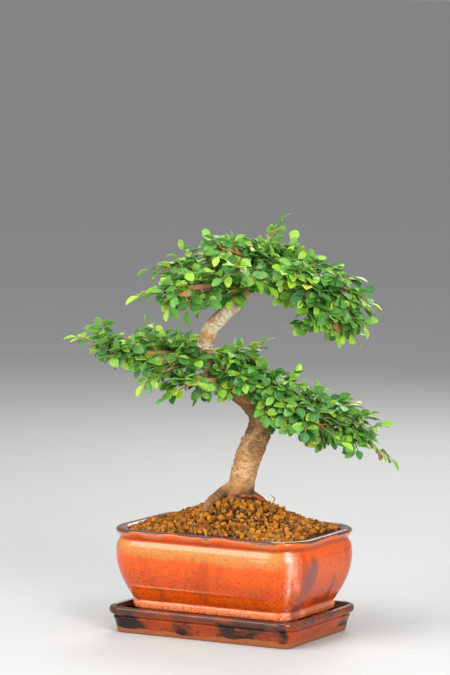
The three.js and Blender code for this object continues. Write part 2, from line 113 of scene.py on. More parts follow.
def make_studio():
    scene = bpy.context.scene
    scene.view_settings.view_transform = "Standard"
    scene.world = bpy.data.worlds.new("studio")
    scene.world.use_nodes = True
    air = scene.world.node_tree.nodes["Background"]
    air.inputs["Color"].default_value = (0.9, 0.91, 0.92, 1)
    air.inputs["Strength"].default_value = 0.45
    add_light("tall softbox", 54, 24, 1.2, 0.4, 0.8, 13)
    add_light("wide softbox", -34, 38, 1.3, 0.9, 0.6, 12)
    add_light("low strip", -18, 4, 1.3, 0.3, 0.12, 1.5)
    add_light("overhead", 20, 78, 1.2, 0.5, 0.5, 6)
    add_light("rim light", 195, 35, 1.3, 0.6, 0.5, 7)
    bm = bmesh.new()
    bmesh.ops.create_grid(bm, x_segments=1, y_segments=1, size=FLOOR_REACH)
    floor = added("floor", mesh_from(bm, "floor"))
    pale = {"Base Color": (0.5, 0.5, 0.49, 1), "Roughness": 0.7}
    floor.data.materials.append(plain_material("pale floor", pale))


# Shared helpers


def scatter(i, j=0):
    """A number from 0 to 1 that looks random and is the same on every run."""
    s = math.sin(i * 12.9898 + j * 78.233 + 4.137) * 43758.5453
    return s - math.floor(s)


def smooth_step(value, low, high):
    share = min(max((value - low) / (high - low), 0), 1)
    return share * share * (3 - 2 * share)


class Path:
    """A smooth curve through points of any dimension, measured along its length."""

    SAMPLES = 200

    def __init__(self, points):
        self.points = [Vector(point) for point in points]
        self.line = [self.at_share(k / self.SAMPLES) for k in range(self.SAMPLES + 1)]
        self.reach = [0.0]
        for start, end in zip(self.line, self.line[1:]):
            self.reach.append(self.reach[-1] + (end - start).length)
        self.length = self.reach[-1]

    def at_share(self, share):
        points, last = self.points, len(self.points) - 1
        i = min(int(share * last), last - 1)
        weight = share * last - i
        start, end = points[i], points[i + 1]
        before = points[i - 1] if i else 2 * start - end
        after = points[i + 2] if i + 2 <= last else 2 * end - start
        gap_before, gap, gap_after = (
            max((b - a).length, 1e-4) ** 0.5 for a, b in ((before, start), (start, end), (end, after))
        )
        leaving = (start - before) / gap_before - (end - before) / (gap_before + gap) + (end - start) / gap
        coming = (end - start) / gap - (after - start) / (gap + gap_after) + (after - end) / gap_after
        leaving, coming = leaving * gap, coming * gap
        bend = 3 * (end - start) - 2 * leaving - coming
        twist = 2 * (start - end) + leaving + coming
        return start + leaving * weight + bend * weight**2 + twist * weight**3

    def at(self, share):
        target = share * self.length
        k = min(max(bisect_left(self.reach, target), 1), self.SAMPLES)
        weight = (target - self.reach[k - 1]) / max(self.reach[k] - self.reach[k - 1], 1e-9)
        return self.line[k - 1].lerp(self.line[k], weight)

    def tangent(self, share):
        step = 0.5 / self.SAMPLES
        return (self.at(min(share + step, 1)) - self.at(max(share - step, 0))).to_3d().normalized()


def extruded(bm, edges):
    """Extrudes a ring of edges in place and returns the new ring's vertices and edges."""
    grown = bmesh.ops.extrude_edge_only(bm, edges=edges)["geom"]
    ring = [item for item in grown if isinstance(item, bmesh.types.BMVert)]
    return ring, [item for item in grown if isinstance(item, bmesh.types.BMEdge)]


def sweep(bm, places, sides):
    """A closed tube: a unit circle put through each place in turn, and joined from ring to ring."""
    spoke = bm.verts.layers.int.get("spoke") or bm.verts.layers.int.new("spoke")
    ring = bmesh.ops.create_circle(bm, segments=sides, radius=1)["verts"]
    circle = [vert.co.copy() for vert in ring]
    for number, vert in enumerate(ring):
        vert[spoke] = number
    edges = list({edge for vert in ring for edge in vert.link_edges})
    bmesh.ops.contextual_create(bm, geom=edges)
    for vert in ring:
        vert.co = places[0] @ circle[vert[spoke]]
    for place in places[1:]:
        ring, edges = extruded(bm, edges)
        for vert in ring:
            vert.co = place @ circle[vert[spoke]]
    bmesh.ops.contextual_create(bm, geom=edges)


def places_along(path, steps, grow=0):
    """Where each ring of a limb goes. The path's points are x, y, z and radius."""
    places = []
    across = Vector((0.3, 1, 0.2))
    for step in range(steps + 1):
        share = step / steps
        point, tangent = path.at(share), path.tangent(share)
        across = (across - tangent * across.dot(tangent)).normalized()
        other = tangent.cross(across)
        radius = point[3] + grow
        basis = Matrix((across * radius, other * radius, tangent)).transposed().to_4x4()
        places.append(Matrix.Translation(point.to_3d()) @ basis)
    return places


def limb(bm, stations, sides, spacing):
    path = Path(stations)
    sweep(bm, places_along(path, max(3, round(path.length / spacing))), sides)


def added(name, data):
    """A new object in the scene."""
    thing = bpy.data.objects.new(name, data)
    bpy.context.scene.collection.objects.link(thing)
    return thing


def mesh_from(bm, name):
    """The bmesh as a mesh. The bmesh itself is freed."""
    mesh = bpy.data.meshes.new(name)
    bm.to_mesh(mesh)
    bm.free()
    return mesh


def copied_in(bm, mesh, place):
    """Adds a copy of the mesh to the bmesh at a place, and returns its vertices."""
    first = len(bm.verts)
    bm.from_mesh(mesh)
    bm.verts.ensure_lookup_table()
    verts = bm.verts[first:]
    bmesh.ops.transform(bm, matrix=place, verts=verts)
    return verts


def scratch_object(bm):
    return added("scratch", mesh_from(bm, "scratch"))


def applied(thing, tools=()):
    """The scratch object with its modifiers applied, as a bmesh. It and its tools are removed."""
    graph = bpy.context.evaluated_depsgraph_get()
    result = bmesh.new()
    result.from_mesh(thing.evaluated_get(graph).to_mesh())
    for old in (thing, *tools):
        mesh = old.data
        bpy.data.objects.remove(old)
        bpy.data.meshes.remove(mesh)
    return result


def carved(body, tools):
    """The body after each tool, a pair of operation and bmesh, is joined to it or cut from it."""
    thing = scratch_object(body)
    cutters = []
    for operation, tool in tools:
        cutters.append(scratch_object(tool))
        change = thing.modifiers.new("carve", "BOOLEAN")
        change.operation = operation
        change.solver = "EXACT"
        change.object = cutters[-1]
    return applied(thing, cutters)


def block(length, width, height, centre):
    bm = bmesh.new()
    place = Matrix.Translation(centre) @ Matrix.Diagonal((length, width, height, 1))
    bmesh.ops.create_cube(bm, size=1, matrix=place)
    return bm


def finished(bm, name, material, replaced=(), place=IN_POT, sharp_angle=40):
    """Makes a bmesh in millimetres a piece of the object, in its place and riding on the model."""
    bmesh.ops.transform(bm, matrix=place, verts=bm.verts)
    mesh = mesh_from(bm, name)
    mesh.shade_smooth()
    mesh.set_sharp_from_angle(angle=math.radians(sharp_angle))
    mesh.materials.append(material)
    piece = added(name, mesh)
    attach(piece, "root")
    if replaced:
        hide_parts(*replaced)
    return piece


# Shader helpers. A number or colour that changes over a surface is an output socket of the material's tree


def put(tree, kind, inputs=None, **settings):
    """Adds a node. inputs gives sockets a value, or the output socket that feeds them."""
    node = tree.nodes.new("ShaderNode" + kind)
    for name, value in settings.items():
        setattr(node, name, value)
    for name, value in (inputs or {}).items():
        if isinstance(value, bpy.types.NodeSocket):
            tree.links.new(value, node.inputs[name])
        else:
            node.inputs[name].default_value = value
    return node


def calculate(operation, first, second=0.0):
    """Works on two numbers, of which at least one is a socket."""
    tree = next(value.id_data for value in (first, second) if isinstance(value, bpy.types.NodeSocket))
    return put(tree, "Math", {0: first, 1: second}, operation=operation).outputs[0]


def product(first, *others):
    for other in others:
        first = calculate("MULTIPLY", first, other)
    return first


def ranged(value, low, high, to_low=0.0, to_high=1.0):
    """value from low to high becomes to_low to to_high, smoothly and no further."""
    inputs = {"Value": value, "From Min": low, "From Max": high, "To Min": to_low, "To Max": to_high}
    return put(value.id_data, "MapRange", inputs, interpolation_type="SMOOTHSTEP").outputs["Result"]


def color(red, green, blue):
    """A colour from its screen values, 0 to 255."""
    shares = [value / 255 for value in (red, green, blue)]
    return (*(v / 12.92 if v < 0.0404 else ((v + 0.055) / 1.055) ** 2.4 for v in shares), 1)


def mixed(share, first, second):
    inputs = {"Factor": share, 6: first, 7: second}
    return put(share.id_data, "Mix", inputs, data_type="RGBA", blend_type="MIX").outputs[2]


def tinted(body, tint, *shares):
    """The body colour, turned towards a tint as far as the product of the shares says."""
    return mixed(product(*shares), body, color(*tint))


def noise_in(vector, scale, detail=4.0, roughness=0.55):
    inputs = {"Vector": vector, "Scale": scale, "Detail": detail, "Roughness": roughness}
    return put(vector.id_data, "TexNoise", inputs).outputs["Fac"]


def stretched(vector, scale):
    return put(vector.id_data, "Mapping", {"Vector": vector, "Scale": scale}).outputs[0]


def attribute(material, name, output="Fac"):
    return put(material.node_tree, "Attribute", attribute_name=name).outputs[output]


def plain_material(name, constants):
    """A material whose shader has these constant sockets."""
    material = bpy.data.materials.new(name)
    material.use_nodes = True
    for socket, value in constants.items():
        material.node_tree.nodes["Principled BSDF"].inputs[socket].default_value = value
    return material


def new_material(name, constants):
    """A material as above, its object coordinates, and their x, y and z."""
    material = plain_material(name, constants)
    place = put(material.node_tree, "TexCoord").outputs["Object"]
    return material, place, put(material.node_tree, "SeparateXYZ", {0: place}).outputs[:]


def surfaced(material, base, roughness, height, bump_depth, strength):
    """The material, with what changes over its surface fed to its shader."""
    tree = material.node_tree
    shader = tree.nodes["Principled BSDF"]
    tree.links.new(base, shader.inputs["Base Color"])
    tree.links.new(roughness, shader.inputs["Roughness"])
    bump = put(tree, "Bump", {"Height": height, "Distance": bump_depth, "Strength": strength})
    tree.links.new(bump.outputs[0], shader.inputs["Normal"])
    return material


def new_effect(name, values, outputs):
    """An empty shader group. Returns it, what its input node puts out, and its output node's sockets."""
    group = bpy.data.node_groups.new(name, "ShaderNodeTree")
    group.interface.new_socket("Vector", in_out="INPUT", socket_type="NodeSocketVector")
    for way, labels in (("INPUT", values), ("OUTPUT", outputs)):
        for label in labels:
            group.interface.new_socket(label, in_out=way, socket_type="NodeSocketFloat")
    return group, group.nodes.new("NodeGroupInput").outputs, group.nodes.new("NodeGroupOutput").inputs


def make_glaze_effect():
    """Mottling, fine dark speckles and a slightly uneven surface, as a runny glaze has."""
    values = ("Mottle Scale", "Speckle Scale", "Speckle Share")
    group, given, wanted = new_effect("runny glaze", values, ("Mottle", "Speckle", "Height"))
    place, speckle_scale = given["Vector"], given["Speckle Scale"]
    mottle = noise_in(place, given["Mottle Scale"], 8, 0.62)
    group.links.new(ranged(mottle, 0.36, 0.64), wanted["Mottle"])
    ragged = put(group, "TexNoise", {"Vector": place, "Scale": speckle_scale}).outputs["Color"]
    shift = put(group, "VectorMath", {0: ragged, "Scale": 0.0016}, operation="SCALE").outputs[0]
    moved = put(group, "VectorMath", {0: place, 1: shift}, operation="ADD").outputs[0]
    cells = put(group, "TexVoronoi", {"Vector": moved, "Scale": speckle_scale}).outputs
    chance = put(group, "SeparateColor", {0: cells["Color"]}).outputs[0]
    spare = calculate("SUBTRACT", given["Speckle Share"], chance)
    dot = ranged(calculate("SUBTRACT", spare, cells["Distance"]), -0.12, 0.08)
    group.links.new(dot, wanted["Speckle"])
    group.links.new(noise_in(place, 60, 2), wanted["Height"])
    return group


def make_grain_effect():
    """Patches and fine grit, as bark and baked clay have."""
    group, given, wanted = new_effect("grit", ("Scale",), ("Patches", "Grit", "Height"))
    place, scale = given["Vector"], given["Scale"]
    patches = noise_in(place, scale, 5, 0.6)
    grit = noise_in(place, product(scale, 6.0), 4, 0.7)
    group.links.new(ranged(patches, 0.35, 0.65), wanted["Patches"])
    group.links.new(ranged(grit, 0.35, 0.65), wanted["Grit"])
    group.links.new(calculate("ADD", patches, grit), wanted["Height"])
    return group


GLAZE = make_glaze_effect()
GRAIN = make_grain_effect()


def effect_at(place, group, values):
    return put(place.id_data, "Group", {"Vector": place, **values}, node_tree=group).outputs


# Materials. Places on the pot, the saucer and the tree are in metres, in the frame

NEAR_CORNER = (0.0505, -0.0255)  # the centre of the rounding between the pot's front and its right end
LINE_LEVEL = 0.0338
RIM_UNDERSIDE = 0.0645
RIM_LEVEL = 0.0712


def make_pot_glaze():
    """Copper red: pale and gilded below the neck, with runs, speckles, mauve by its end and a dark rim. The
    pale band below the neck is partly a painted highlight, the pale near corner is partly one, and the paler
    lip edge is one.
    """
    constants = {"Coat Weight": 0.3, "Coat Roughness": 0.05, "Specular IOR Level": 0.25}
    material, place, (x, y, z) = new_material("copper glaze", constants)
    values = {"Mottle Scale": 90.0, "Speckle Scale": 860.0, "Speckle Share": 0.56}
    glaze = effect_at(place, GLAZE, values)
    wander = noise_in(place, 45, 4)
    level = calculate("ADD", z, calculate("SUBTRACT", product(wander, 0.008), 0.004))
    grain = noise_in(place, 620, 3, 0.7)
    runs = noise_in(stretched(place, (1, 1, 0.16)), 75, 3)
    cloud = noise_in(stretched(place, (1, 1, 0.3)), 52, 3)
    below_rim = ranged(z, 0.0665, RIM_UNDERSIDE)
    body = mixed(ranged(level, 0.024, 0.052), color(208, 66, 6), color(228, 88, 14))
    body = tinted(body, (196, 84, 14), glaze["Mottle"], 0.45)
    # Painted light: the wall below the raised line is lightened to offset the shade it gets as it tilts down
    body = tinted(body, (240, 100, 26), ranged(z, 0.0335, 0.03, 0, 0.6))
    body = tinted(body, (168, 56, 10), ranged(runs, 0.5, 0.66, 0, 0.5))
    # Pale glaze below the neck, made lower and paler as a painted highlight of the shoulder too
    pale_band_and_highlight = product(ranged(level, 0.0525, 0.0615), below_rim, ranged(x, 0.072, 0.058))
    body = tinted(body, (232, 150, 88), pale_band_and_highlight, 0.7)
    gold = product(ranged(level, 0.0505, 0.0565), ranged(level, 0.066, 0.0605), ranged(x, 0.07, 0.06))
    flecks = ranged(calculate("ADD", grain, product(gold, 0.12)), 0.56, 0.64)
    body = tinted(body, (180, 122, 60), gold, flecks, 0.85)
    pale_foot = mixed(ranged(grain, 0.54, 0.64, 0, 0.6), color(238, 128, 76), color(250, 200, 156))
    body = mixed(product(ranged(z, 0.0232, 0.0222), 0.85), body, pale_foot)
    on_end = product(ranged(x, 0.058, 0.072), ranged(level, 0.064, 0.056))
    body = tinted(body, (118, 50, 44), ranged(cloud, 0.5, 0.58), on_end, 0.8)
    # The angle about the near corner's centre: 0 where the end side starts, pi / 2 where the long side does
    past_end = calculate("SUBTRACT", x, NEAR_CORNER[0])
    angle = calculate("ARCTAN2", calculate("SUBTRACT", NEAR_CORNER[1], y), past_end)
    by_end = product(ranged(angle, -0.5, -0.2), ranged(angle, 0.5, 0.34), ranged(level, 0.062, 0.052))
    body = tinted(body, (142, 78, 70), by_end, ranged(cloud, 0.38, 0.52, 0.2, 0.85))
    # Partly painted highlight: a pale streak down the near corner only, half a paler glaze break and half the
    # lamp's reflection there
    corner_break_and_highlight = product(ranged(angle, 0.34, 0.5), ranged(angle, 0.95, 0.7), ranged(z, 0.03, 0.04, 0.3, 1))
    body = tinted(body, (238, 186, 164), corner_break_and_highlight, ranged(runs, 0.62, 0.44, 0.1, 0.7), below_rim)
    body = tinted(body, (132, 50, 14), glaze["Speckle"], ranged(level, 0.064, 0.03, 0.35, 0.85))
    off_line = calculate("ABSOLUTE", calculate("SUBTRACT", z, LINE_LEVEL))
    along_line = product(ranged(x, 0.046, -0.03), ranged(x, -0.058, -0.05))
    body = tinted(body, (240, 156, 92), ranged(off_line, 0.0009, 0.0003), along_line, 0.6)
    body = tinted(body, (140, 48, 18), ranged(z, 0.0648, 0.0664), ranged(z, 0.0684, 0.0672), 0.6)
    # Painted highlight: pale streaks along the upper edge of the lip
    lip_highlight = ranged(wander, 0.44, 0.6, 0.1, 0.6)
    body = tinted(body, (214, 136, 78), ranged(level, 0.0676, 0.07), lip_highlight)
    body = tinted(body, (74, 54, 48), ranged(level, RIM_LEVEL, RIM_LEVEL + 0.0012), 0.92)
    roughness = ranged(glaze["Mottle"], 0, 1, 0.14, 0.26)
    return surfaced(material, body, roughness, glaze["Height"], 0.0006, 0.35)


def make_saucer_glaze():
    """Nearly black glaze, warm in its middle and on its end, that stops in drips above bare clay."""
    constants = {"Coat Weight": 0.25, "Coat Roughness": 0.06, "Specular IOR Level": 0.2}
    material, place, (x, _, z) = new_material("dark glaze", constants)
    values = {"Mottle Scale": 60.0, "Speckle Scale": 900.0, "Speckle Share": 0.5}
    glaze = effect_at(place, GLAZE, values)
    mottle = glaze["Mottle"]
    off_middle = calculate("ABSOLUTE", calculate("ADD", x, 0.017))
    warm = calculate("MAXIMUM", ranged(off_middle, 0.036, 0.024), ranged(x, 0.066, 0.071))
    cloud = calculate("ADD", noise_in(stretched(place, (1, 1, 2.2)), 24, 4), product(warm, 0.19))
    body = mixed(ranged(cloud, 0.58, 0.7), color(34, 22, 18), color(180, 68, 12))
    body = tinted(body, (88, 48, 30), mottle, 0.4)
    body = tinted(body, (84, 52, 40), ranged(z, 0.0135, 0.015), ranged(mottle, 0, 1, 0.55, 0.9))
    body = tinted(body, (40, 26, 22), glaze["Speckle"], 0.5)
    drip = noise_in(stretched(place, (1, 1, 0.1)), 30, 3)
    bare = ranged(calculate("SUBTRACT", product(drip, 0.0125), z), 0.0018, 0.0026)
    grit = effect_at(place, GRAIN, {"Scale": 300.0})
    body = mixed(bare, body, mixed(grit["Grit"], color(146, 78, 42), color(170, 98, 60)))
    roughness = calculate("MAXIMUM", ranged(mottle, 0, 1, 0.14, 0.3), bare)
    return surfaced(material, body, product(roughness, 0.85), glaze["Height"], 0.0006, 0.35)


def make_clay_crumb(name, dark, light, odd):
    """Baked-clay soil: ochre crumbs, with a few of an odd colour."""
    material, place, _ = new_material(name, {"Specular IOR Level": 0.25})
    grit = effect_at(place, GRAIN, {"Scale": 420.0})
    tint = attribute(material, "tint")
    body = mixed(tint, color(*dark), color(*light))
    body = tinted(body, dark, grit["Grit"], 0.4)
    body = tinted(body, odd, calculate("GREATER_THAN", tint, 0.93), 0.8)
    roughness = ranged(grit["Patches"], 0, 1, 0.8, 0.97)
    return surfaced(material, body, roughness, grit["Height"], 0.0004, 0.8)


def make_bark():
    """Tan bark in fine rings, pale high on the trunk, browner on thin boughs, with painted shade at its foot
    and one peeled root.
    """
    material, place, (_, _, z) = new_material("elm bark", {"Specular IOR Level": 0.3})
    wrapped = attribute(material, "bark_place", "Vector")
    grit = effect_at(place, GRAIN, {"Scale": 110.0})
    rings = noise_in(stretched(wrapped, (0.75, 0.75, 1.6)), 1.0, 3, 0.65)
    cracks = noise_in(stretched(wrapped, (0.9, 0.9, 0.55)), 1.0, 5, 0.65)
    stain = noise_in(place, 55, 4)
    body = mixed(grit["Patches"], color(190, 138, 88), color(224, 180, 128))
    pale = mixed(ranged(stain, 0.38, 0.52), color(200, 146, 92), color(236, 224, 196))
    body = mixed(product(ranged(z, 0.172, 0.186), 0.9), body, pale)
    middle = product(ranged(z, 0.116, 0.13), ranged(z, 0.178, 0.166))
    body = tinted(body, (98, 68, 34), ranged(stain, 0.42, 0.53), middle, 0.85)
    body = tinted(body, (124, 82, 42), ranged(cracks, 0.5, 0.62, 0, 0.55))
    body = tinted(body, (120, 82, 48), ranged(rings, 0.52, 0.64, 0, 0.4))
    body = tinted(body, (240, 212, 172), ranged(rings, 0.44, 0.34, 0, 0.4))
    body = tinted(body, (140, 98, 58), grit["Grit"], 0.3)
    # Painted shade: darker at the trunk's foot, where the roots meet the soil
    body = tinted(body, (72, 48, 30), ranged(z, 0.104, 0.097), ranged(cracks, 0.34, 0.52, 0.6, 0.95))
    body = tinted(body, (178, 126, 74), ranged(attribute(material, "girth"), 4.2, 2.2), 0.75)
    streaks = noise_in(stretched(wrapped, (1.6, 1.6, 0.12)), 1.0, 3, 0.6)
    streak = mixed(ranged(streaks, 0.42, 0.52), color(168, 88, 42), color(80, 42, 24))
    body = mixed(attribute(material, "peeled"), body, streak)
    height = calculate("ADD", calculate("ADD", grit["Height"], rings), cracks)
    return surfaced(material, body, ranged(grit["Grit"], 0, 1, 0.68, 0.9), height, 0.0006, 0.6)


def make_twig_bark():
    material, place, _ = new_material("young bark", {"Specular IOR Level": 0.3})
    grit = effect_at(place, GRAIN, {"Scale": 260.0})
    body = mixed(grit["Patches"], color(128, 92, 52), color(188, 142, 84))
    body = tinted(body, (150, 130, 60), attribute(material, "tint"))
    return surfaced(material, body, ranged(grit["Grit"], 0, 1, 0.6, 0.85), grit["Height"], 0.0003, 0.5)


def make_leaf_green():
    """Green to yellow to brown by age, paler below and along the veins."""
    constants = {
        "Subsurface Weight": 0.12, "Subsurface Radius": (0.0012, 0.003, 0.0006), "Subsurface Scale": 1.0,
    }
    material, place, _ = new_material("elm leaf", constants)
    age, tint, under = (attribute(material, name) for name in ("age", "tint", "under"))
    old = mixed(tint, color(36, 100, 38), color(98, 162, 58))
    fresh = mixed(tint, color(118, 180, 42), color(176, 214, 60))
    body = mixed(ranged(age, 0.12, 0.55), old, fresh)
    body = tinted(body, (204, 200, 56), ranged(age, 0.75, 0.88))
    body = tinted(body, (158, 108, 62), ranged(age, 0.92, 0.98))
    blade = put(material.node_tree, "UVMap", uv_map="blade").outputs[0]
    along, from_edge, _ = put(material.node_tree, "SeparateXYZ", {0: blade}).outputs
    across = calculate("ABSOLUTE", calculate("SUBTRACT", from_edge, 0.5))
    slanted = calculate("SUBTRACT", product(along, 8.0), product(across, 3.4))
    wave = calculate("ABSOLUTE", calculate("SUBTRACT", calculate("FRACT", slanted), 0.5))
    side_veins = product(ranged(wave, 0.13, 0.04), 0.45)
    veins = calculate("MAXIMUM", ranged(across, 0.045, 0.015), side_veins)
    body = tinted(body, (150, 190, 96), veins, 0.35)
    blotch = ranged(noise_in(place, 700, 3), 0.4, 0.65)
    body = tinted(body, (22, 66, 34), blotch, 0.22)
    body = tinted(body, (142, 176, 104), under, 0.4)
    height = calculate("SUBTRACT", product(blotch, 0.3), veins)
    return surfaced(material, body, ranged(under, 0, 1, 0.42, 0.6), height, 0.0002, 0.5)


def make_black_plastic():
    material, place, _ = new_material("black plastic", {})
    grit = effect_at(place, GRAIN, {"Scale": 500.0})
    body = mixed(grit["Patches"], color(24, 24, 24), color(44, 42, 40))
    return surfaced(material, body, ranged(grit["Grit"], 0, 1, 0.5, 0.7), grit["Height"], 0.0001, 0.3)


def dress_node(name, material):
    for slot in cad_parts[name].material_slots:
        slot.material = material


# Pot and saucer: rings of a rounded rectangle, stacked along a smooth profile of height and inset

CORNER_STEPS = 9
SIDE_STEPS = 12
POT_CORNER = 25
POT_LEAST_CORNER = 2
SAUCER_CORNER = 12
SAUCER_LEAST_CORNER = 6
POT_OUTSIDE = [
    (16.5, 14.4), (17.6, 12.4), (21.4, 12.2), (22.8, 13), (24.4, 11.6), (32, 6.9), (42, 2.2), (53, 0.1),
    (61, 0.5), (66.6, 2.9), (68.6, 1.4), (70.6, 0), (72, 0.3), (73, 1.6), (72.8, 5.4), (71.8, 7.6),
]
POT_INSIDE = [(55, 7.6), (40, 10.4), (28, 15.4), (21.5, 19.6)]
POT_UNDERSIDE = 16.5
POT_FLOOR = 21.5
FOOT = {"inset": 16, "wall": 8, "span": 22, "span_across": 17.6, "ankle": 6.8}
DRAIN = {"radius": 5.5, "from_centre": 30, "depth": 20}
RAISED_LINE = {"height": 33.6, "half_length": 50, "height_out": 0.45, "spread": 0.8}
SAUCER_PROFILE = [
    (0, 6.4), (1, 5.7), (8, 4.1), (11, 2.8), (12.2, 3.5), (13.4, 1), (15.4, 0), (17.4, 0.3), (18.5, 1.6),
    (18.3, 3.8), (8.3, 7.6), (6.5, 9.6),
]


def plan_of(node, corner, least_corner):
    """The length, width and middle of a CAD node and its corner radii, in millimetres."""
    low, high = (corner_point / MM for corner_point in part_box(node))
    return {
        "length": high.x - low.x,
        "width": high.y - low.y,
        "x": (low.x + high.x) / 2,
        "corner": corner,
        "least_corner": least_corner,
    }


def ring_point(plan, inset, number):
    """Place of vertex number on the rounded rectangle that lies inset from the plan's edge."""
    radius = max(plan["corner"] - inset, plan["least_corner"])
    reach_x, reach_y = plan["length"] / 2 - inset - radius, plan["width"] / 2 - inset - radius

    def on_arc(quarter, share):
        angle = (quarter + share) * math.pi / 2
        sign_x, sign_y = ((1, 1), (-1, 1), (-1, -1), (1, -1))[quarter % 4]
        x = sign_x * reach_x + radius * math.cos(angle)
        y = sign_y * reach_y + radius * math.sin(angle)
        return Vector((x, y, 0))

    quarter, step = divmod(number, CORNER_STEPS + SIDE_STEPS)
    if step <= CORNER_STEPS:
        return on_arc(quarter, step / CORNER_STEPS)
    return on_arc(quarter, 1).lerp(on_arc(quarter + 1, 0), (step - CORNER_STEPS) / SIDE_STEPS)


def thrown_body(plan, profile, shape=lambda point: point):
    """A closed body of rings. shape may move each point, and profile rows are height and inset."""
    bm = bmesh.new()
    spoke = bm.verts.layers.int.new("spoke")
    ring = bmesh.ops.create_circle(bm, segments=4 * (CORNER_STEPS + SIDE_STEPS), radius=1)["verts"]
    for number, vert in enumerate(ring):
        vert[spoke] = number
    edges = bm.edges[:]
    bmesh.ops.contextual_create(bm, geom=edges)
    for row, (height, inset) in enumerate(profile):
        if row:
            ring, edges = extruded(bm, edges)
        for vert in ring:
            point = ring_point(plan, inset, vert[spoke])
            vert.co = shape(Vector((point.x + plan["x"], point.y, height)))
    bmesh.ops.contextual_create(bm, geom=edges)
    bmesh.ops.recalc_face_normals(bm, faces=bm.faces)
    return bm


def smooth_profile(points, steps):
    path = Path(points)
    count = (len(points) - 1) * steps
    return [path.at_share(k / count) for k in range(count + 1)]


def hand_made(point, depth):
    """Moves a point a little, as the wall of a hand-pressed pot wanders."""
    drift = noise.noise_vector(point * 0.022) * depth
    return point + Vector((drift.x, drift.y, 0))


def make_pot(material):
    plan = plan_of("pot", POT_CORNER, POT_LEAST_CORNER)
    profile = smooth_profile(POT_OUTSIDE, 5) + smooth_profile([POT_OUTSIDE[-1], *POT_INSIDE], 4)[1:]

    def shape(point):
        line = RAISED_LINE
        off_line = (point.z - line["height"]) / line["spread"]
        end = smooth_step(abs(point.x - plan["x"]), line["half_length"] + 3, line["half_length"] - 3)
        on_long_side = abs(point.y) > plan["width"] / 2 - 12 and abs(off_line) < 4
        if on_long_side:
            point.y += math.copysign(line["height_out"] * math.exp(-off_line**2) * end, point.y)
        return hand_made(point, 0.35)

    ankle, sunk = FOOT["ankle"], POT_UNDERSIDE + 1
    inner, outer = FOOT["inset"] + FOOT["wall"], FOOT["inset"]
    height, middle = sunk - ankle + 6, (ankle + POT_UNDERSIDE) / 2 - 1
    clear_x = plan["length"] - 2 * (outer + FOOT["span"])
    clear_y = plan["width"] - 2 * (outer + FOOT["span_across"])
    feet = carved(
        thrown_body(plan, [(ankle, outer + 0.8), (ankle + 1, outer), (sunk, outer)]),
        [
            ("DIFFERENCE", thrown_body(plan, [(ankle - 1, inner), (sunk + 1, inner)])),
            ("DIFFERENCE", block(clear_x, plan["width"], height, (plan["x"], 0, middle))),
            ("DIFFERENCE", block(plan["length"], clear_y, height, (plan["x"], 0, middle))),
        ],
    )
    tools = [("UNION", feet)]
    for side in (-1, 1):
        hole = bmesh.new()
        place = Matrix.Translation((plan["x"] + side * DRAIN["from_centre"], 0, POT_FLOOR - 2))
        size = {"radius1": DRAIN["radius"], "radius2": DRAIN["radius"], "depth": DRAIN["depth"]}
        bmesh.ops.create_cone(hole, cap_ends=True, segments=32, matrix=place, **size)
        tools.append(("DIFFERENCE", hole))
    body = carved(thrown_body(plan, profile, shape), tools)
    finished(body, "pot_glazed", material, ["pot"], sharp_angle=50)


def make_saucer(material):
    plan = plan_of("saucer", SAUCER_CORNER, SAUCER_LEAST_CORNER)
    body = thrown_body(plan, smooth_profile(SAUCER_PROFILE, 5), lambda point: hand_made(point, 0.2))
    finished(body, "saucer_glazed", material, ["saucer"], sharp_angle=50)


# Soil: loose baked-clay granules over the packed soil

SOIL = {"edge": 69.5, "mound": 22.5, "spread": 0.62, "top_x": 3, "top_y": 4, "inset": 8, "spacing": 3.05}
GRANULE_SHAPES = 8


def mound_height(plan, x, y):
    """The soil's height at a place measured from the pot's middle."""
    reach = math.hypot((x - SOIL["top_x"]) / (plan["length"] / 2), (y - SOIL["top_y"]) / (plan["width"] / 2))
    return SOIL["edge"] + SOIL["mound"] * math.exp(-((reach / SOIL["spread"]) ** 2))


def inside_plan(plan, x, y, inset):
    radius = plan["corner"] - inset
    over_x = abs(x) - (plan["length"] / 2 - inset - radius)
    over_y = abs(y) - (plan["width"] / 2 - inset - radius)
    return math.hypot(max(over_x, 0), max(over_y, 0)) < radius


def granule_mesh(number):
    """A crumb with blunt corners, about a millimetre in radius."""
    bm = bmesh.new()
    bmesh.ops.create_cube(bm, size=1.5)
    bmesh.ops.bevel(bm, geom=bm.edges[:], offset=0.26, affect="EDGES", segments=1, profile=0.5, material=-1)
    for vert in bm.verts:
        vert.co += noise.noise_vector(vert.co * 1.3 + Vector((number * 7.3, 0, 0))) * 0.75
    return mesh_from(bm, "granule")


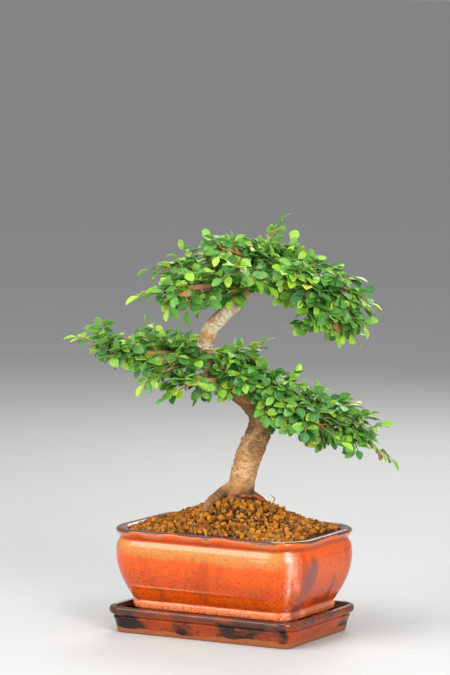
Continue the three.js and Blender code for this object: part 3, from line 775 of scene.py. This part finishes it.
def make_granules(material):
    plan = plan_of("pot", POT_CORNER, POT_LEAST_CORNER)
    shapes = [granule_mesh(number) for number in range(GRANULE_SHAPES)]
    trunk_foot = IN_TREE @ Vector((5, 4, 88))
    bm = bmesh.new()
    tint = bm.verts.layers.float.new("tint")
    columns = round((plan["length"] - 2 * SOIL["inset"]) / SOIL["spacing"])
    rows = round((plan["width"] - 2 * SOIL["inset"]) / SOIL["spacing"])
    for number in range(columns * rows):
        row, column = divmod(number, columns)
        x = (column + 0.5 + 0.9 * (scatter(number, 1) - 0.5) - columns / 2) * SOIL["spacing"]
        y = (row + 0.5 + 0.9 * (scatter(number, 2) - 0.5) - rows / 2) * SOIL["spacing"]
        size = 1.3 + 1.35 * scatter(number, 3) ** 1.6
        if not inside_plan(plan, x, y, SOIL["inset"] + size * 0.8):
            continue
        centre = Vector((x + plan["x"], y, mound_height(plan, x, y) + 0.5 + 0.9 * scatter(number, 4)))
        if (centre.xy - trunk_foot.xy / MM).length < 9:
            continue
        turn = Euler([math.tau * scatter(number, axis) for axis in (5, 6, 7)]).to_matrix().to_4x4()
        stretch = Matrix.Diagonal((size, size * (0.75 + 0.3 * scatter(number, 8)), size * 0.85, 1))
        place = Matrix.Translation(centre) @ turn @ stretch
        for vert in copied_in(bm, shapes[number % GRANULE_SHAPES], place):
            vert[tint] = scatter(number, 9)
    for mesh in shapes:
        bpy.data.meshes.remove(mesh)
    finished(bm, "soil_granules", material, sharp_angle=28)


# Wood: trunk, roots and boughs as smooth limbs, melted together and given bark

TRUNK = [
    (3.5, 4, 60.5, 9), (4.5, 4, 84, 11), (5.5, 4, 94, 9.6), (9, 3, 112.5, 8.8), (13, 1, 125, 9),
    (17.5, 0, 135.5, 8.6), (20, -2, 148.5, 8), (16.5, -3, 157, 8.2), (8.5, -3, 164.5, 7.6),
    (-1.5, -2, 171, 6.6), (-10.5, 0, 179.5, 6.2), (-16.5, 1, 187, 6.4), (-19, 2, 195, 6.2),
    (-15.5, 2, 208.5, 5.8), (-6.5, 2, 218.5, 5.4), (4, 1, 229, 5), (13.5, 2, 239.5, 4.4),
    (18, 4, 248.5, 3.4), (21, 5, 257.5, 2.2), (25, 4, 266, 1.2),
]
ROOTS = [
    [
        (0.5, 3, 102, 3), (-7.5, 1, 96, 3.6), (-15.5, -2, 89.5, 3.1), (-24.5, -5, 74, 2.2),
        (-32.5, -8, 58, 1.3),
    ],
    [(6.5, 4, 100, 3), (13.5, 3, 94, 4), (21.5, 1, 89, 3.2), (30.5, -1, 76.5, 2.2), (37.5, 0, 58, 1.3)],
    [(4.5, 2, 99, 3), (5.5, -5, 91, 3.6), (7.5, -12, 83, 3), (9.5, -19, 72, 2), (10.5, -23, 56, 1.2)],
    [(1.5, 6, 99, 3), (-4.5, 12, 91, 3.6), (-9.5, 18, 81.5, 2.8), (-12.5, 23, 62.5, 1.6)],
    [(6.5, 7, 99, 3), (11.5, 13, 91, 3.6), (16.5, 18, 81.5, 2.6), (20.5, 22, 62.5, 1.5)],
]
PEELED_ROOT = [
    (-2, -6, 96, 0.8), (5.5, -10, 95.6, 1.2), (13, -10.6, 95, 1.4), (20, -7.4, 93, 1.5), (26, -3, 87, 1.2),
]
KNOTS = [
    [(13.5, 0, 130, 5), (8.4, -2, 133.4, 2.6), (6.8, -3, 135.4, 1.3)],
    [(18.5, -2, 152.5, 6), (22.8, -6, 154.5, 2.4), (24.2, -8, 156.4, 1.4)],
    [(-13.5, 0, 182.5, 5), (-17.4, -4, 179, 2.3), (-18.8, -5.5, 177, 1.1)],
]
BOUGHS = {
    "left": [
        (-16.5, 1, 190.5, 4), (-30, -3, 193, 3.6), (-45.5, -6, 193, 3.1), (-61.5, -8, 193, 2.6),
        (-73, -8, 194, 2), (-85, -6, 198, 1.2),
    ],
    "left_front": [(-21.5, -2, 192, 2.6), (-33.5, -13, 187.5, 2.1), (-44, -21, 184, 1.2)],
    "left_back": [
        (-33.5, -3, 193.5, 2.4), (-47.5, 11, 196.5, 2), (-61.5, 21, 198, 1.5), (-69.5, 24, 199, 1),
    ],
    "middle": [(-12.5, 0, 184.5, 2.6), (-2.5, -8, 187.5, 2), (7.5, -13, 191.5, 1)],
    "middle_front": [
        (-4.5, -2, 173.5, 2.6), (-11.5, -14, 176, 2.1), (-23.5, -22, 176, 1.6), (-32, -26, 173, 1),
    ],
    "right": [
        (9.5, -3, 163.5, 4.4), (22, -9, 165.5, 3.8), (35.5, -13, 163.5, 3.3), (50, -14, 158, 2.8),
        (64, -12, 150.5, 2.3), (77.5, -10, 142, 1.8), (87.5, -10, 134.5, 1.1),
    ],
    "right_front": [(33, -12, 164, 2.6), (48.5, -25, 156, 2), (60.5, -32, 147, 1.1)],
    "right_back": [(39, -13, 162.5, 2.4), (55, 2, 160, 1.9), (70.5, 12, 155, 1.1)],
    "crown_left": [(9.5, 1, 235.5, 3.4), (-6.5, -8, 240, 2.8), (-24, -14, 240, 2.1), (-42, -16, 238, 1.1)],
    "crown_upper_left": [
        (13, 2, 239.5, 3), (-2.5, 5, 249, 2.4), (-19.5, 8, 252, 1.7), (-35.5, 11, 248.5, 1),
    ],
    "crown_top": [(16, 3, 244, 3.4), (18, 4, 248.5, 3.4), (21, 5, 257.5, 2.2), (25, 4, 266, 1.2)],
    "crown_upper_right": [(18, 4, 247.5, 2.8), (34, 12, 254, 2.1), (48.5, 16, 250, 1.1)],
    "crown_right": [
        (17, 4, 245.5, 3.2), (36.5, -5, 251.5, 2.7), (56.5, -12, 249.5, 2), (71.5, -15, 241, 1.1),
    ],
    "crown_droop": [(41, -7, 251, 2.3), (52, -17, 243.5, 1.8), (59, -23, 234, 1.3), (62, -25, 227.5, 0.9)],
    "crown_front": [(15.5, 3, 242.5, 2.8), (11.5, -15, 250, 2), (7, -31, 252, 1.1)],
    "crown_back": [(16.5, 4, 244.5, 2.8), (21, 22, 252, 2), (24.5, 36, 253, 1.1)],
}
VOXEL = 0.62
BARK_SAMPLE = 1.5


def melted(bm):
    """One skin over all the limbs, with soft joins."""
    thing = scratch_object(bm)
    skin = thing.modifiers.new("skin", "REMESH")
    skin.mode = "VOXEL"
    skin.voxel_size = VOXEL
    ease = thing.modifiers.new("ease", "SMOOTH")
    ease.factor = 0.5
    ease.iterations = 4
    return applied(thing)


def axis_samples(limbs):
    """Points along the middle of each limb, with what the bark needs to know there."""
    samples = []
    for stations in limbs:
        path = Path(stations)
        count = max(2, round(path.length / BARK_SAMPLE))
        for place, step in zip(places_along(path, count), range(count + 1)):
            radius = path.at(step / count)[3]
            samples.append({"place": place, "along": step * path.length / count, "radius": radius})
    return samples


def add_bark(bm, limbs, peeled):
    """Bends the skin into rings, lumps and pits, and marks each point's place on its limb."""
    samples = axis_samples(limbs)
    peeled_from = len(samples)
    samples += axis_samples([peeled])
    tree = kdtree.KDTree(len(samples))
    for number, sample in enumerate(samples):
        tree.insert(sample["place"].translation, number)
    tree.balance()
    bark_place = bm.verts.layers.float_vector.new("bark_place")
    girth = bm.verts.layers.float.new("girth")
    peel = bm.verts.layers.float.new("peeled")
    bm.normal_update()
    for vert in bm.verts:
        _, number, _ = tree.find(vert.co)
        sample = samples[number]
        offset = sample["place"].inverted() @ vert.co
        angle = math.atan2(offset.y, offset.x)
        along = sample["along"] + offset.z
        radius = sample["radius"]
        heft = min(radius / 8, 1)
        vert[bark_place] = (math.cos(angle) * radius / 4, math.sin(angle) * radius / 4, along)
        vert[girth] = radius
        vert[peel] = 1.0 if number >= peeled_from and offset.xy.length < 1.5 else 0.0
        warp = noise.noise(vert.co * 0.12) * 5
        rings = math.sin((along + warp) * 2.6) * 0.06 + math.sin((along - warp) * 0.9) * 0.12
        lumps = noise.noise(vert.co * 0.16) * 0.9 + noise.noise(vert.co * 0.42) * 0.45
        pits = noise.noise(vert.co * 1.1) * 0.2
        vert.co += vert.normal * heft * (rings + lumps + pits)


def make_wood(material):
    limbs = [*ROOTS, *BOUGHS.values(), *(thin["line"] for thin in THIN_BOUGHS), *KNOTS]
    bm = bmesh.new()
    limb(bm, TRUNK, 32, 2.5)
    for stations in [*limbs, PEELED_ROOT]:
        limb(bm, stations, 14, 2.5)
    bmesh.ops.recalc_face_normals(bm, faces=bm.faces)
    skin = melted(bm)
    add_bark(skin, [TRUNK, *limbs[: -len(KNOTS)]], PEELED_ROOT)
    finished(skin, "elm_wood", material, ["trunk"], IN_TREE, sharp_angle=80)


# Shoots and leaves

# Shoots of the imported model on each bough, with their length and lift, then the number of smaller extra ones,
# and the lowest and highest that those rise
SPRAY_COLUMNS = ("shoots", "length", "lift", "extra", "low", "high")
SPRAY_ROWS = {
    "left": (6, 23, 0, 32, -0.3, 1.0),
    "left_front": (3, 20, -0.1, 12, -0.35, 0.9),
    "left_back": (2, 22, 0.1, 12, -0.3, 0.9),
    "middle": (2, 17, 0.3, 18, -1.0, 0.9),
    "middle_front": (4, 18, -0.1, 16, -0.7, 1.0),
    "right": (6, 24, 0.15, 46, -1.2, 1.0),
    "right_front": (3, 21, 0, 20, -1.2, 0.8),
    "right_back": (2, 22, 0.1, 14, -0.9, 0.8),
    "crown_left": (4, 23, 0, 24, -0.7, 0.9),
    "crown_upper_left": (4, 23, 0.35, 22, -0.6, 0.9),
    "crown_top": (3, 17, 0.1, 20, -0.4, 1.1),
    "crown_upper_right": (3, 23, 0.3, 18, -0.7, 0.8),
    "crown_right": (4, 24, 0.1, 30, -1.6, 0.8),
    "crown_droop": (4, 19, 0, 24, -1.0, 0.9),
    "crown_front": (2, 21, 0.2, 16, -0.6, 0.8),
    "crown_back": (2, 21, 0.2, 14, -0.6, 0.8),
}
SPRAYS = {bough: dict(zip(SPRAY_COLUMNS, row)) for bough, row in SPRAY_ROWS.items()}
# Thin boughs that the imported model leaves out. Their leaves join those of the bough beside them
THIN_COLUMNS = ("beside", "extra", "length", "low", "high", "line")
THIN_ROWS = [
    (
        "middle", 20, 19, -0.9, 0.9,
        [(-1.5, -2, 171, 2.2), (3, -9, 176, 1.7), (10, -14, 179, 1.3), (19, -17, 179, 0.8)],
    ),
    (
        "right", 22, 20, -0.8, 1.0,
        [(11, -4, 164, 2.4), (17, -13, 169, 1.8), (26, -18, 171, 1.4), (37, -21, 169, 0.8)],
    ),
    (
        "right_front", 14, 18.5, -0.9, 0.8,
        [(22, -9, 165.5, 2), (28, -19, 162, 1.6), (36, -25, 157, 1.2), (44, -29, 151, 0.8)],
    ),
    (
        "crown_top", 20, 18, -0.5, 0.8,
        [(17, 4, 246, 2.2), (11, -3, 256, 1.7), (3, -7, 263, 1.2), (-7, -8, 266, 0.8)],
    ),
    (
        "crown_front", 20, 19.5, -0.9, 0.9,
        [(20, 2, 247, 2.2), (29, -11, 253, 1.7), (38, -19, 254, 1.2), (47, -24, 251, 0.8)],
    ),
    (
        "crown_right", 22, 19, -0.9, 0.8,
        [(57, -12, 249, 1.9), (70, -19, 241, 1.5), (80, -20, 230, 1.2), (86, -19, 218, 0.8)],
    ),
    (
        "crown_droop", 20, 18, -0.8, 0.8,
        [(50, -15, 245, 1.8), (61, -14, 235, 1.4), (70, -12, 224, 1.1), (76, -11, 213, 0.8)],
    ),
    (
        "crown_droop", 14, 15, -0.8, 0.6,
        [(56, -14, 239, 1.5), (59, -18, 231, 1.2), (59, -20, 221, 1), (56, -21, 213, 0.7)],
    ),
]
THIN_BOUGHS = [dict(zip(THIN_COLUMNS, row)) for row in THIN_ROWS]
SIDE_LEAVES = 7
LEAST_LEAVES = 5
LEAF_SPACING = 1.75
LEAST_SIZE = {"main": 0.82, "extra": 0.62}
BARE_TIP_SHARE = 0.28
BARE_SHARE = 0.28
LEAF = {"length": 11, "width": 6.5, "thickness": 0.24, "stalk": 0.13, "fold": 0.9, "droop": 1.2}
LEAF_SHAPES = 6
LEAF_COLUMNS = 10
TWIG = {"radius": 0.6, "tip": 0.32}
BOX_MARGIN = 0.02


def make_shoot(bough_line, along, turn, rise, reach, at_tip):
    """A shoot that leaves its bough at a share of its length, in the bough's own directions."""
    line = Path([station[:3] for station in bough_line])
    start, tangent = line.at(along), line.tangent(along)
    side = tangent.cross(UP).normalized()
    over = side.cross(tangent)
    direction = tangent * (1 if at_tip else 0.45) + side * (0 if at_tip else math.sin(turn)) + over * rise
    direction.normalize()
    middle = start + direction * reach * 0.5 + UP * 0.8
    end = start + direction * reach - UP * 0.8
    right = direction.cross(UP).normalized()
    return {
        "stem": lambda t: start * (1 - t) ** 2 + middle * 2 * t * (1 - t) + end * t * t,
        "direction": direction,
        "side": right,
        "over": right.cross(direction),
        "reach": reach,
    }


def main_shoot(bough, k):
    """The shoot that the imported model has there."""
    spray = SPRAYS[bough]
    length, lift = spray["length"], spray["lift"]
    at_tip = k == spray["shoots"] - 1
    along = 0.97 if at_tip else 0.1 + 0.8 * (k + 0.5) / (spray["shoots"] - 1)
    turn = (1 if k % 2 else -1) * (0.9 + 0.4 * scatter(k, length))
    rise = lift if at_tip else lift + 1.7 * (scatter(3 * k, length + lift) - 0.45)
    reach = length * (0.85 + 0.3 * scatter(k + 3, length))
    return make_shoot(BOUGHS[bough], along, turn, rise, reach, at_tip)


def extra_shoot(bough_line, row, k):
    """A smaller shoot between the main ones, or on a thin bough."""
    length = row["length"]
    along = 0.06 + 0.93 * ((k + scatter(k, length + 1)) / row["extra"]) ** 0.9
    turn = (1 if scatter(k, length + 2) > 0.5 else -1) * (0.15 + 1.3 * scatter(k, length + 3))
    rise = row["low"] + (row["high"] - row["low"]) * scatter(k, length + 4)
    return make_shoot(bough_line, along, turn, rise, length * (0.45 + 0.5 * scatter(k, length + 5)), False)


def leaf_mesh(number):
    """A toothed blade on a short stalk, folded along its midrib and arched, along x from the origin."""
    bm = bmesh.new()
    under = bm.verts.layers.float.new("under")
    uv = bm.loops.layers.uv.new("blade")
    bmesh.ops.create_grid(bm, x_segments=LEAF_COLUMNS, y_segments=2, size=1)
    top = bm.faces[:]
    for face in top:
        for loop in face.loops:
            loop[uv].uv = (loop.vert.co.x / 2 + 0.5, loop.vert.co.y / 2 + 0.5)
    curl = LEAF["droop"] * (0.3 + 1.5 * scatter(number, 41))
    fold = LEAF["fold"] * (0.5 + scatter(number, 42))
    lean = 0.5 * (scatter(number, 43) - 0.5)
    for vert in bm.verts:
        column = round((vert.co.x / 2 + 0.5) * LEAF_COLUMNS)
        along, side = column / LEAF_COLUMNS, vert.co.y
        blade = max(along - LEAF["stalk"], 0) / (1 - LEAF["stalk"])
        half = LEAF["width"] / 2 * math.sin(math.pi * blade**0.95) ** 0.68 if 0 < blade < 1 else 0
        tooth = 1.05 if column % 2 else 0.94
        half = max(half * tooth, 0.22) * (1 + 0.1 * side * lean)
        forward = 0.3 * abs(side) if column % 2 and 0 < blade < 1 else 0
        vert.co.x = along * LEAF["length"] + forward
        vert.co.y = side * half + lean * 2 * blade * blade
        vert.co.z = fold * (half / 3) * abs(side) - curl * blade * blade
    shell = bmesh.ops.solidify(bm, geom=top, thickness=LEAF["thickness"])["geom"]
    lower = {vert for vert in shell if isinstance(vert, bmesh.types.BMVert)}
    for vert in lower:
        vert[under] = 1.0
    return mesh_from(bm, "leaf")


def within_box(points):
    """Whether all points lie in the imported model's box, or a little outside."""
    low, high = cad_box
    margin = (high - low) * BOX_MARGIN
    return all(
        low[axis] - margin[axis] < point[axis] < high[axis] + margin[axis]
        for point in points
        for axis in range(3)
    )


def leaf_place(shoot, slot, count, seed, least_size, unruly):
    """Where a leaf goes: in two rows along the shoot, or at its end. unruly, 0 or 1, turns it about."""
    at_end = slot == count
    t = 1 if at_end else BARE_SHARE + (1 - BARE_SHARE) * (slot - 0.5) / count
    handed = 1 if slot % 2 == 0 else -1
    chance = [scatter(seed, slot + 11 * k) - 0.5 for k in range(5)]
    swing = 0 if at_end else 1.05 + 0.4 * chance[1]
    side, over, direction = shoot["side"], shoot["over"], shoot["direction"]
    grows = direction * math.cos(swing) + side * math.sin(swing) * handed - UP * 0.15
    grows += over * (0.9 + 0.4 * unruly) * chance[2]
    grows.normalize()
    origin = shoot["stem"](t)
    outward = Vector((origin.x, origin.y, 0)).normalized()
    turned = side * 0.7 * chance[3] + (side * chance[3] + direction * chance[4]) * unruly
    facing = (over + outward * (0.5 + 0.5 * unruly) + turned).normalized()
    across = facing.cross(grows).normalized()
    normal = grows.cross(across)
    size = least_size + (0.3 + 0.15 * unruly) * scatter(seed, slot)
    basis = Matrix((grows, across, normal)).transposed().to_4x4()
    return Matrix.Translation(origin) @ basis @ Matrix.Scale(size, 4)


def leaf_age(seed, slot, count, at_tip):
    """0 for an old dark leaf, 0.5 for a fresh one, 0.9 for a yellow one and 1 for a dry one."""
    fresh = scatter(seed + 5, slot + 70)
    age = 0.15 * fresh + 0.45 * (slot / count) ** 3 * fresh
    if scatter(seed + 9, slot + 31) > (0.5 if at_tip else 0.87):
        age = 0.5 + 0.2 * fresh
    withering = scatter(seed + 2, slot + 53)
    if withering > 0.974:
        age = 1 if withering > 0.993 else 0.9
    return age


def shoots_of(bough):
    """All shoots on a bough and the thin boughs beside it: shoot, leaves, least leaf size, unruliness."""
    spray = SPRAYS[bough]
    shoots = [(main_shoot(bough, k), SIDE_LEAVES + 1, LEAST_SIZE["main"], 0) for k in range(spray["shoots"])]
    for row in (spray, *(thin for thin in THIN_BOUGHS if thin["beside"] == bough)):
        for k in range(row["extra"]):
            shoot = extra_shoot(row.get("line", BOUGHS[bough]), row, k)
            count = max(LEAST_LEAVES, round(shoot["reach"] / LEAF_SPACING))
            shoots.append((shoot, count, LEAST_SIZE["extra"], 1))
    return shoots


def add_twig(bm, shoot, tint, greenness):
    radius, tip = TWIG["radius"], TWIG["tip"]
    first = len(bm.verts)
    path = Path([(*shoot["stem"](t), radius + (tip - radius) * t) for t in (0, 0.35, 0.7, 1)])
    sweep(bm, places_along(path, 5), 5)
    bm.verts.ensure_lookup_table()
    for vert in bm.verts[first:]:
        vert[tint] = greenness


def make_foliage(bough, first_seed, shapes, leaf_material, twig_material):
    main_shoots = SPRAYS[bough]["shoots"]
    leaves, twigs = bmesh.new(), bmesh.new()
    tint, age = (leaves.verts.layers.float.new(name) for name in ("tint", "age"))
    twig_tint = twigs.verts.layers.float.new("tint")
    for number, (shoot, count, least_size, unruly) in enumerate(shoots_of(bough)):
        seed = (first_seed + number if number < main_shoots else 100 + 3 * first_seed + number) * 11 + 1
        if not within_box([IN_TREE @ shoot["stem"](1)]):
            continue
        add_twig(twigs, shoot, twig_tint, 0.7 * scatter(seed, 90) ** 2)
        bare_tip = unruly and scatter(seed, 91) > 1 - BARE_TIP_SHARE
        for slot in range(1, (count - 2 if bare_tip else count) + 1):
            place = leaf_place(shoot, slot, count, seed, least_size, unruly)
            if not within_box([IN_TREE @ place @ Vector((x, y, 0)) for x, y in ((11, 0), (6, 3), (6, -3))]):
                continue
            leaf_tint = scatter(seed, slot + 17)
            years = leaf_age(seed, slot, count, number == main_shoots - 1)
            for vert in copied_in(leaves, shapes[(seed + slot) % LEAF_SHAPES], place):
                vert[tint] = leaf_tint
                vert[age] = years
    nodes = [f"spray_{bough}_{k + 1}" for k in range(main_shoots)]
    finished(leaves, f"leaves_{bough}", leaf_material, nodes, IN_TREE, sharp_angle=70)
    bmesh.ops.recalc_face_normals(twigs, faces=twigs.faces)
    finished(twigs, f"twigs_{bough}", twig_material, (), IN_TREE, sharp_angle=80)


def make_crown(leaf_material, twig_material):
    shapes = [leaf_mesh(number) for number in range(LEAF_SHAPES)]
    first_seed = 0
    for bough, spray in SPRAYS.items():
        make_foliage(bough, first_seed, shapes, leaf_material, twig_material)
        first_seed += spray["shoots"]
    for mesh in shapes:
        bpy.data.meshes.remove(mesh)


# Root hairs: dry threads that stand out of the soil beside the flare

ROOT_HAIRS = [
    [(17, -7, 86, 0.5), (22, -9, 87, 0.45), (27, -10, 90, 0.4), (29.5, -10, 93.5, 0.35), (27, -10, 96, 0.3)],
    [(-20, -6, 87, 0.4), (-24, -8, 88.5, 0.3), (-27, -9, 87.5, 0.22), (-29, -9, 85, 0.2)],
]


def make_root_hairs(material):
    bm = bmesh.new()
    bm.verts.layers.float.new("tint")
    for stations in ROOT_HAIRS:
        limb(bm, stations, 6, 1.2)
    bmesh.ops.recalc_face_normals(bm, faces=bm.faces)
    finished(bm, "root_hairs", material, (), IN_TREE, sharp_angle=80)


make_camera()
make_studio()
twig_bark = make_twig_bark()
make_saucer(make_saucer_glaze())
make_pot(make_pot_glaze())
for side in ("left", "right"):
    dress_node(f"drain_mesh_{side}", make_black_plastic())
dress_node("soil", make_clay_crumb("packed soil", (66, 40, 20), (120, 74, 34), (60, 52, 46)))
make_granules(make_clay_crumb("soil granules", (108, 58, 8), (218, 142, 42), (80, 68, 56)))
make_wood(make_bark())
make_crown(make_leaf_green(), twig_bark)
make_root_hairs(twig_bark)
